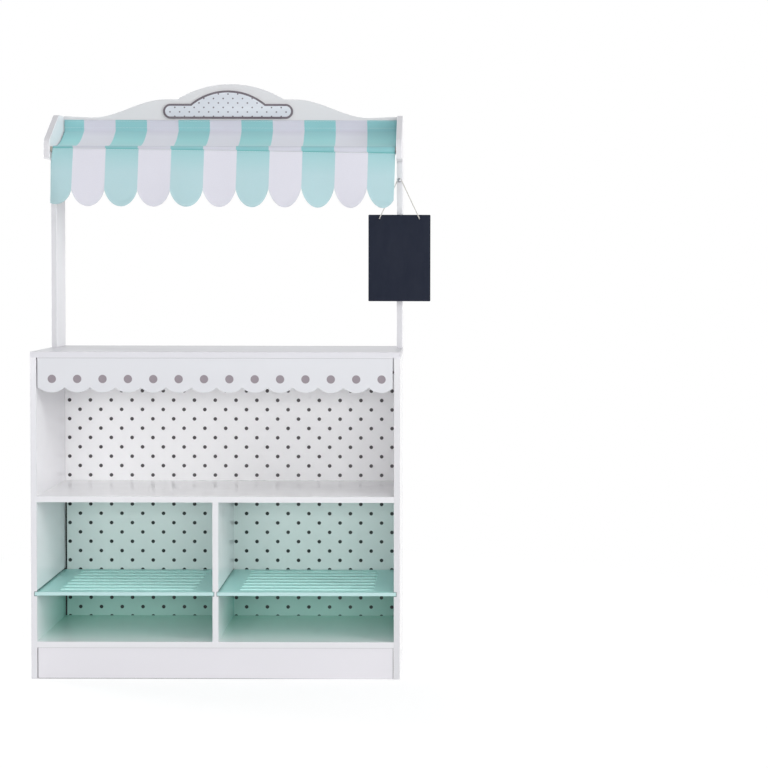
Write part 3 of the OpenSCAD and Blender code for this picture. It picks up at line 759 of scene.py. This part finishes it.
def shaded_along(tree, down, dyes_and_shades):
    """One dye along the cloth's length, painted lighter and darker at several places down it as
    painted light and shade.
    """
    longest = dyes_and_shades[-1][0]
    share = add(tree, "Math", {0: down, 1: -1 / longest}, operation="MULTIPLY")
    ramp = add(tree, "ValToRGB", {"Fac": share})
    stops = ramp.color_ramp.elements
    stops.remove(stops[1])
    for length, dye_and_shade in dyes_and_shades:
        stops.new(length / longest).color = paint(dye_and_shade, 1)
    stops.remove(stops[0])
    return ramp


def striped_cloth(name, mints, whites):
    """Plain weave in two dyes, whose stripes follow its width; each dye carries painted light and
    shade along the length.
    """
    finish, tree, surface, spot = start_finish(name, "UV")
    yarn = add(tree, "TexNoise", {"Vector": spot, "Scale": 420, "Detail": 2})
    frayed = add(tree, "Math", {0: yarn, 1: 0.0012, 2: -0.0006}, operation="MULTIPLY_ADD")
    apart = add(tree, "SeparateXYZ", {"Vector": spot})
    across = add(tree, "Math", {0: apart.outputs["X"], 1: frayed})
    turns = add(tree, "Math", {0: across, 1: 2 * stripe_w}, operation="DIVIDE")
    turn = add(tree, "Math", {0: turns}, operation="FRACT")
    stripe = add(tree, "MixRGB", {
        "Fac": over_limit(tree, turn, 0.5),
        "Color1": shaded_along(tree, apart.outputs["Y"], whites),
        "Color2": shaded_along(tree, apart.outputs["Y"], mints)})
    slubs = add(tree, "MixRGB", {
        "Fac": yarn, "Color1": (0.93, 0.93, 0.93, 1), "Color2": (1, 1, 1, 1)})
    dye_and_shade = add(tree, "MixRGB", {"Fac": 1, "Color1": stripe, "Color2": slubs}, blend_type="MULTIPLY")
    warp = add(tree, "TexWave", {"Vector": spot, "Scale": 560}, bands_direction="X")
    weft = add(tree, "TexWave", {"Vector": spot, "Scale": 560}, bands_direction="Y")
    crossed = times(tree, warp.outputs["Fac"], weft.outputs["Fac"])
    weave = add(tree, "Bump", {"Height": crossed, "Strength": 0.35, "Distance": 0.0002})
    join(tree, surface, {
        "Base Color": dye_and_shade, "Normal": weave, "Roughness": 0.85, "Sheen Weight": 0.15,
        "Subsurface Weight": 0.45, "Subsurface Radius": (1, 1, 1), "Subsurface Scale": 0.0015})
    return finish


def spaced(line, gap):
    """Places along a line at an even gap, each with the line's direction there."""
    places, left = [], gap / 2
    for a, b in zip(line, line[1:]):
        step = (b - a).length
        while left <= step:
            places.append((a.lerp(b, left / step), (b - a).normalized()))
            left += gap
        left -= step
    return places


stitch_half = Vector((0.0012, 0.00028, 0.00022))
stitch_gap = 0.0034


def stitched(name, rows, finish):
    """Rows of small stitches lying on the cloth's front: one stitch modelled, then copied."""
    bpy.ops.object.select_all(action="DESELECT")
    bpy.ops.mesh.primitive_uv_sphere_add(segments=6, ring_count=4, radius=1)
    stitch = bpy.context.active_object
    corners = [v.co.copy() for v in stitch.data.vertices]
    faces = [tuple(p.vertices) for p in stitch.data.polygons]
    points, shells = [], []
    for line, out in rows:
        for spot, along in spaced(line, stitch_gap):
            axes = (along, out.cross(along).normalized(), out)
            turned = Matrix([axis * half for axis, half in zip(axes, stitch_half)]).transposed()
            shells += [tuple(len(points) + v for v in face) for face in faces]
            points += [spot + turned @ c for c in corners]
    stitch.name = name
    thread = bpy.data.meshes.new(name)
    thread.from_pydata(points, [], shells)
    stitch.data = thread
    finished(stitch, finish)
    work_on(stitch)
    bpy.ops.object.shade_smooth()
    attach(stitch, "stall")
    return stitch


hem_rows_at = (0.003, 0.017)
near_rail, on_rail = roof_l - 0.046, roof_l - 0.036
above_seam, below_seam = roof_l - 0.0004, roof_l + 0.002
seam_from, seam_to = roof_l + 0.0002, roof_l + 0.0012
# Each stripe's colour down the cloth is painted light and shade: darker on the band against the
# header and over the rail, a painted shadow line at the seam, and paler down the valance.
mint_band_shade, mint_seam_shadow = (0.265, 0.525, 0.55), (0.12, 0.44, 0.44)
white_roof, white_seam_shadow = (0.68, 0.685, 0.745), (0.56, 0.57, 0.61)
mint_dye_and_shade = (
    (hem_rows_at[0], mint_band_shade), (fold_drop, mint_band_shade), (0.07, (0.30, 0.63, 0.64)),
    (near_rail, (0.29, 0.61, 0.62)), (on_rail, (0.235, 0.485, 0.515)),
    (above_seam, (0.27, 0.57, 0.58)), (seam_from, mint_seam_shadow), (seam_to, mint_seam_shadow),
    (below_seam, (0.335, 0.56, 0.585)), (roof_l + 0.02, (0.38, 0.585, 0.61)),
    (roof_l + 0.05, (0.435, 0.605, 0.635)))
white_dye_and_shade = (
    (hem_rows_at[0], (0.60, 0.595, 0.67)), (fold_drop, (0.605, 0.60, 0.675)),
    (0.05, white_roof), (near_rail, white_roof), (on_rail, (0.565, 0.57, 0.64)),
    (above_seam, white_roof), (seam_from, white_seam_shadow), (seam_to, white_seam_shadow),
    (below_seam, (0.655, 0.65, 0.71)))
awning_cloth = striped_cloth("awning_cloth", mint_dye_and_shade, white_dye_and_shade)
roof = cloth_grid("awning_roof_cloth", roof_columns, roof_rows, roof_place, roof_weave)
thicken(roof, cloth_t)
finished(roof, awning_cloth)

thread_shades = ((0.55, 0.68, 0.70), (0.70, 0.78, 0.80))
sewing_thread = fibrous("sewing_thread", 1500, 1, thread_shades, (0.4, 0.0002), 0.55)[0]
forward = Vector((0, -1, 0))
face_out = forward * (cloth_t / 2)
hem_rows = []
for below in hem_rows_at:
    hem_rows.append((
        [line[0] + face_out - Vector((0, 0, below)) for line in roof_lines], forward))
roof_stitches = stitched("roof_hem_stitches", hem_rows, sewing_thread)
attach(roof, "stall")
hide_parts("awning_roof")


# Valance: a strip of the same cloth sewn to the front of the sleeve, with a scallop cut under
# each stripe and a narrow turned hem. It hangs free, a little lower at the right.
scallop_d = 0.034
scallop_over = 0.0018
cusp_pitch = 0.06886
cusp_middle = -0.0081
first_cusp = cusp_middle - stripes_to_middle * cusp_pitch
tip_z, tip_slope = 0.9651, 0.0048
left_lift, right_depth = 0.005, 0.22
deeper_from, deeper_over = 0.35, 0.4
seam_left, seam_right = 150, 215
free_drop, free_power = 0.115, 1.6
sways = ((0.0022, 0.034, 0.9), (0.0014, 0.0193, 2.4))
curl_d, curl_zone = 0.007, 0.035
right_slant, left_flare, end_zone = 0.004, 0.003, 0.06
drawn_drop = 0.035
valance_middle, valance_middle_lean = -0.005, -0.0031
valance_pitch, valance_pitch_lean = 0.06875, 0.00011
valance_lean_run = 0.085
hem_w, hem_margin = 0.005, 0.0004
hem_stitch_at, seam_stitch_at = 0.75, 0.025
left_scallop, right_scallop = -1, 9
scallop_steps, least_step = 32, 0.0002
drop_rows, hem_row_count = 22, 4
valance_rows = drop_rows + hem_row_count
reach = cusp_pitch / (cusp_pitch + 2 * scallop_over)
oval_h = scallop_d / (1 - math.sqrt(1 - reach * reach))

valance_x = [roof_low.x]
for k in range(left_scallop, right_scallop + 1):
    for step in range(scallop_steps):
        x = first_cusp + cusp_pitch * (k + (1 - math.cos(math.pi * step / scallop_steps)) / 2)
        if roof_low.x + least_step < x < roof_high.x - least_step:
            valance_x.append(x)
valance_x.append(roof_high.x)
valance_columns = len(valance_x) - 1


def seam_point(x):
    """Where the valance is sewn to the sleeve: on its front at the left, lower at the right."""
    on_sleeve = sleeve_point(x, seam_left + (seam_right - seam_left) * along_roof(x))
    return on_sleeve - Vector((0, cloth_t, 0))


def hung_y(x, z):
    """How far forward the valance hangs: down over the sleeve's front, then straight."""
    seam, front = seam_point(x), sleeve_point(x, 180)
    if seam.z <= front.z:
        return seam.y
    over = max(0, z - front.z)
    radius = rail_y - front.y
    return rail_y - math.sqrt(radius ** 2 - over ** 2) - cloth_t


def scallop_edge(x):
    """Height of the scalloped lower edge."""
    s = (x - first_cusp) / cusp_pitch
    t = reach * (2 * (s - math.floor(s)) - 1)
    end = along_roof(x)
    deeper = 1 + right_depth * min(1, max(0, (end - deeper_from) / deeper_over))
    low = tip_z - tip_slope * x + left_lift * max(0, 1 - end / end_zone)
    return low + oval_h * deeper * (1 - math.sqrt(1 - t * t))


def end_turn(depth, from_end, zone):
    """How far the cloth turns near its end, easing off to nothing at the zone's edge."""
    return depth * max(0, 1 - from_end / zone) ** 2


def valance_point(x, share):
    """A place on the hanging cloth: share 0 at the seam and 1 at the lower edge."""
    seam = seam_point(x)
    z = seam.z + (scallop_edge(x) - seam.z) * share
    down = seam.z - z
    free = (down / free_drop) ** free_power
    end = along_roof(x)
    curl = end_turn(curl_d, end, curl_zone)
    slant = end_turn(right_slant, 1 - end, end_zone)
    flare = end_turn(left_flare, end, end_zone)
    return Vector((
        x + drawn_in(x) * max(0, 1 - down / drawn_drop) - (slant + flare) * free,
        hung_y(x, z) + (rippled(x, sways) + curl) * free,
        z))


def drop_at(x):
    """The cloth's length from the seam to the scalloped edge."""
    return seam_point(x).z - scallop_edge(x)


def hem_share(x):
    """The share of the drop at which the hem starts."""
    return 1 - hem_w / drop_at(x)


def valance_share(i, j):
    row = valance_rows - j
    start = hem_share(valance_x[i])
    if row <= drop_rows:
        return start * row / drop_rows
    return start + (1 - start) * (row - drop_rows) / hem_row_count


def valance_place(i, j):
    return valance_point(valance_x[i], valance_share(i, j))


def valance_weave(i, j):
    """A crossing's spot in the weave, which goes on from the roof's."""
    down = seam_point(valance_x[i]).z - valance_place(i, j).z
    lean = down / valance_lean_run
    middle = valance_middle + valance_middle_lean * lean
    pitch = valance_pitch + valance_pitch_lean * lean
    return stripe_at(valance_x[i], middle, pitch), -roof_l - down


valance = cloth_grid(
    "awning_valance_cloth", valance_columns, valance_rows, valance_place, valance_weave)
hem = valance.vertex_groups.new(name="hem")
turned_in = [
    v.index for v in valance.data.vertices
    if v.co.z < scallop_edge(v.co.x) + hem_w + hem_margin
]
hem.add(turned_in, 1, "REPLACE")
thicken(valance, 2 * cloth_t)
finished(valance, awning_cloth)

hem_line, seam_line = [], []
for x in valance_x:
    stitch_at = 1 - (1 - hem_share(x)) * hem_stitch_at
    hem_line.append(valance_point(x, stitch_at) + 2 * face_out)
    seam_line.append(valance_point(x, seam_stitch_at) + face_out)
valance_stitches = stitched(
    "valance_hem_stitches", [(hem_line, forward), (seam_line, forward)], sewing_thread)
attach(valance, "stall")
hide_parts("awning_valance")


# Peg: a turned and plated steel peg with a domed head, screwed into the right post's front
# edge. The chalkboard's cord hangs over it.
def steel(name, colour, rough):
    """Plated steel with fine turning marks."""
    finish, tree, surface, place = start_finish(name)
    marks = add(tree, "TexNoise", {"Vector": place, "Scale": 260, "Detail": 4})
    dull = add(tree, "MapRange", {
        "Value": marks, "To Min": rough - 0.1, "To Max": rough + 0.15})
    tint = add(tree, "MixRGB", {
        "Fac": marks, "Color1": paint(colour, 0.85), "Color2": paint(colour, 1.1)})
    cut = add(tree, "Bump", {"Height": marks, "Strength": 0.15, "Distance": 0.0001})
    join(tree, surface, {"Base Color": tint, "Roughness": dull, "Normal": cut, "Metallic": 1})
    return finish


peg = rubbed_board("chalkboard_peg", "chalkboard_peg_turned", ease=0.0004)
finished(peg, steel("peg_steel", (0.40, 0.40, 0.42), 0.3))
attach(peg, "stall")
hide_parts("chalkboard_peg")


# Chalkboard: a thin board with matt slate paint on both faces, hung by two holes near its
# upper edge. Wiped chalk leaves a faint bloom.
slate = rubbed_board("chalkboard", "chalkboard_slate", ease=0.0005)
slate_paint, tree, surface, place = start_finish("slate_paint")
wiped = add(tree, "Mapping", {"Vector": place, "Scale": (9, 9, 3), "Rotation": (0, 0.6, 0)})
bloom = add(tree, "TexNoise", {"Vector": wiped, "Scale": 2.2, "Detail": 6, "Roughness": 0.7})
dust = add(tree, "MapRange", {
    "Value": bloom, "From Min": 0.4, "From Max": 0.75, "To Min": 0, "To Max": 0.03})
tone = add(tree, "MixRGB", {
    "Fac": dust, "Color1": (0.0125, 0.0162, 0.0295, 1), "Color2": (0.22, 0.23, 0.25, 1)})
grit = add(tree, "TexNoise", {"Vector": place, "Scale": 1400, "Detail": 2})
tooth = add(tree, "Bump", {"Height": grit, "Strength": 0.25, "Distance": 0.0002})
join(tree, surface, {
    "Base Color": tone, "Normal": tooth, "Roughness": 0.75, "Specular IOR Level": 0.12})
finished(slate, slate_paint)
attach(slate, "chalkboard")
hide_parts("chalkboard")


# Hanging cord: white cotton of three twisted strands, from a knot behind the board out through
# its hole, over the peg and back through the other hole to a second knot.
cord_d = 0.0024
bend_r = 2 * cord_d
turn_r = 0.00375
peg_axis = Vector((0.369, 0.0485, 1.024))
slate_low, slate_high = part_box("chalkboard")
hole_down, knot_room = 0.008, 0.0036
hole_x, hole_z = 0.0425, slate_high.z - hole_down - peg_axis.z
knot_y = slate_high.y + knot_room
hole_steps, bend_steps, run_steps, turn_steps = 6, 8, 30, 8
reach_up = math.hypot(hole_x, hole_z)
rise = math.atan2(hole_z, hole_x) + math.acos(turn_r / reach_up)
touch = Vector((turn_r * math.cos(rise), turn_r * math.sin(rise)))
up = (touch - Vector((hole_x, hole_z))).normalized()

right_half = []
for k in range(hole_steps):
    right_half.append(Vector((hole_x, knot_y + (slate_low.y - knot_y) * k / hole_steps, hole_z)))
for k in range(bend_steps + 1):
    a = math.radians(90 * k / bend_steps)
    out = bend_r * (1 - math.cos(a))
    right_half.append(Vector((
        hole_x + out * up.x, slate_low.y - bend_r * math.sin(a), hole_z + out * up.y)))
bent, over = right_half[-1], Vector((touch.x, peg_axis.y, touch.y))
right_half += [bent.lerp(over, k / run_steps) for k in range(1, run_steps)]
for k in range(turn_steps + 1):
    a = rise + (math.pi / 2 - rise) * k / turn_steps
    right_half.append(Vector((turn_r * math.cos(a), peg_axis.y, turn_r * math.sin(a))))
left_half = [Vector((-p.x, p.y, p.z)) for p in reversed(right_half[:-1])]
peg_place = Vector((peg_axis.x, 0, peg_axis.z))
cord_route = [p + peg_place for p in right_half + left_half]

strand_share = 0.464
strand_step, strand_lay = 0.0008, 0.0068


def strand(route, points, shells, start, sides=6):
    """One strand wound round the route, which starts at that turn."""
    thin, away = strand_share * cord_d / 2, (1 - strand_share) * cord_d / 2
    spots = spaced(route, strand_step)
    side = Vector((1, 0, 0))
    base = len(points)
    for n, (spot, along) in enumerate(spots):
        side = (side - along * side.dot(along)).normalized()
        other = along.cross(side)
        turn = start + 2 * math.pi * n * strand_step / strand_lay
        middle = spot + away * (math.cos(turn) * side + math.sin(turn) * other)
        for k in range(sides):
            a = 2 * math.pi * k / sides
            points.append(middle + thin * (math.cos(a) * side + math.sin(a) * other))
    for n in range(len(spots) - 1):
        for k in range(sides):
            a, b = base + n * sides + k, base + n * sides + (k + 1) % sides
            shells.append((a, b, b + sides, a + sides))
    shells.append(tuple(base + k for k in reversed(range(sides))))
    shells.append(tuple(base + (len(spots) - 1) * sides + k for k in range(sides)))


def cord_mesh(name, route):
    """A cord of three strands along the route."""
    points, shells = [], []
    for k in range(3):
        strand(route, points, shells, 2 * math.pi * k / 3)
    mesh = bpy.data.meshes.new(name)
    mesh.from_pydata(points, [], shells)
    piece = bpy.data.objects.new(name, mesh)
    bpy.context.collection.objects.link(piece)
    work_on(piece)
    bpy.ops.object.mode_set(mode="EDIT")
    bpy.ops.mesh.select_all(action="SELECT")
    bpy.ops.mesh.normals_make_consistent(inside=False)
    bpy.ops.object.mode_set(mode="OBJECT")
    bpy.ops.object.shade_smooth()
    finished(piece, cotton)
    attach(piece, "chalkboard")
    return piece


cotton_shades = ((0.54, 0.52, 0.48), (0.67, 0.655, 0.62))
cotton, surface = fibrous("cord_cotton", 2400, 3, cotton_shades, (0.5, 0.0002), 0.9)
surface.inputs["Sheen Weight"].default_value = 0.2
cord = cord_mesh("chalkboard_cord_strands", cord_route)
knot_r, knot_back = 0.0011, 0.0018
knot_wide, knot_deep = 0.8, 0.9
knot_steps, knot_closed = 48, 0.97
for name, side in (("right_cord_knot", 1), ("left_cord_knot", -1)):
    middle = peg_place + Vector((side * hole_x, knot_y + knot_back, hole_z))
    loop = []
    for k in range(knot_steps + 1):
        a = 2 * math.pi * k / knot_steps * knot_closed
        loop.append(middle + knot_r * Vector((
            side * (math.sin(a) + 2 * math.sin(2 * a)) * knot_wide,
            -math.sin(3 * a) * knot_deep,
            (math.cos(a) - 2 * math.cos(2 * a)) * knot_wide)))
    cord_mesh(name, loop)
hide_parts("chalkboard_cord")


# Fixings: connector bolts and barrel nuts of plated steel, and beech dowels, all sunk in the
# boards. They keep their CAD shapes, and only the bolts' heads show on the outside.
bolt_steel = steel("bolt_steel", (0.42, 0.42, 0.44), 0.3)
nut_steel = steel("nut_steel", (0.60, 0.60, 0.62), 0.35)
dowel_wood = wood("dowel_wood", (30, 30, 1), (0.46, 0.30, 0.16), (0.72, 0.54, 0.33))
for node, finish in (
    ("shelf_bolts", bolt_steel), ("header_bolts", bolt_steel),
    ("shelf_nuts", nut_steel), ("header_nuts", nut_steel),
    ("upright_dowels", dowel_wood), ("counter_dowels", dowel_wood),
    ("apron_dowels", dowel_wood), ("divider_dowels", dowel_wood),
    ("kick_dowels", dowel_wood),
):
    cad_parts[node].material_slots[0].material = finish


# Floor and studio: a plain white sweep that keeps the stall's shadow, lit by a broad soft
# lamp in front, one at the right, one at the left behind, and even light from all round.
def seen_directly(tree):
    """1 for what the camera sees, by itself or through gloss or glass, and 0 for lighting."""
    rays = tree.nodes.new("ShaderNodeLightPath")
    either = add(tree, "Math", {
        0: rays.outputs["Is Camera Ray"], 1: rays.outputs["Is Glossy Ray"]},
        operation="MAXIMUM")
    return add(
        tree, "Math", {0: either, 1: rays.outputs["Is Transmission Ray"]}, operation="MAXIMUM")


floor_size, floor_gap = 30, 0.0003
shadow_fades_from, shadow_fades_to = 0.7, 1.6
bpy.ops.object.select_all(action="DESELECT")
bpy.ops.mesh.primitive_plane_add(size=floor_size, location=(0, 0, -floor_gap))
floor = bpy.context.active_object
floor.name = "studio_floor"
bpy.ops.object.transform_apply(location=True, rotation=True, scale=True)
paper, tree, lighting_paper, spread = start_finish("studio_paper")
join(tree, lighting_paper, {"Base Color": (0.8, 0.8, 0.8, 1), "Roughness": 0.9})
pale = add(tree, "BsdfDiffuse", {"Color": (0.4, 0.4, 0.4, 1)})
glow = add(tree, "Emission", {"Color": (1, 1, 1, 1), "Strength": 0.66})
lit = add(tree, "AddShader", {0: pale, 1: glow})
away = add(tree, "VectorMath", {0: spread}, operation="LENGTH")
fade = add(tree, "MapRange", {
    "Value": away.outputs["Value"], "From Min": shadow_fades_from, "From Max": shadow_fades_to,
    "To Min": 0, "To Max": 1})
clear = add(tree, "Emission", {"Color": (1, 1, 1, 1), "Strength": 1})
swept = add(tree, "MixShader", {0: fade, 1: lit, 2: clear})
shown = add(tree, "MixShader", {0: seen_directly(tree), 1: lighting_paper, 2: swept})
join(tree, tree.nodes["Material Output"], {"Surface": shown})
floor.data.materials.append(paper)

studio = bpy.data.worlds.new("studio")
studio.use_nodes = True
tree = studio.node_tree
even_light = tree.nodes["Background"]
sky = tree.nodes.new("ShaderNodeTexCoord").outputs["Generated"]
way = add(tree, "SeparateXYZ", {"Vector": sky})
from_above = add(tree, "MapRange", {
    "Value": way.outputs["Z"], "From Min": 0, "From Max": 0.6, "To Min": 0.1, "To Max": 0.75})
join(tree, even_light, {"Color": (0.98, 0.99, 1, 1), "Strength": from_above})
white_wall = add(tree, "Background", {"Color": (1, 1, 1, 1), "Strength": 1})
shown = add(tree, "MixShader", {0: seen_directly(tree), 1: even_light, 2: white_wall})
join(tree, tree.nodes["World Output"], {"Surface": shown})
bpy.context.scene.world = studio

lamp_aim = Vector((0, 0, 0.6))
for name, place, size, power in (
    ("front_lamp", (0.4, -6.4, 1.12), (5.5, 1.5), 162),
    ("right_lamp", (5.6, -3.4, 2.4), (3.0, 3.0), 165),
    ("rear_lamp", (-5.5, 3.8, 2.6), (3.0, 3.0), 220),
):
    bpy.ops.object.select_all(action="DESELECT")
    bpy.ops.object.light_add(type="AREA", location=place)
    lamp = bpy.context.active_object
    lamp.name = name
    lamp.data.shape = "RECTANGLE"
    lamp.data.size, lamp.data.size_y = size
    lamp.data.energy = power
    lamp.rotation_euler = (lamp_aim - Vector(place)).to_track_quat("-Z", "Y").to_euler()
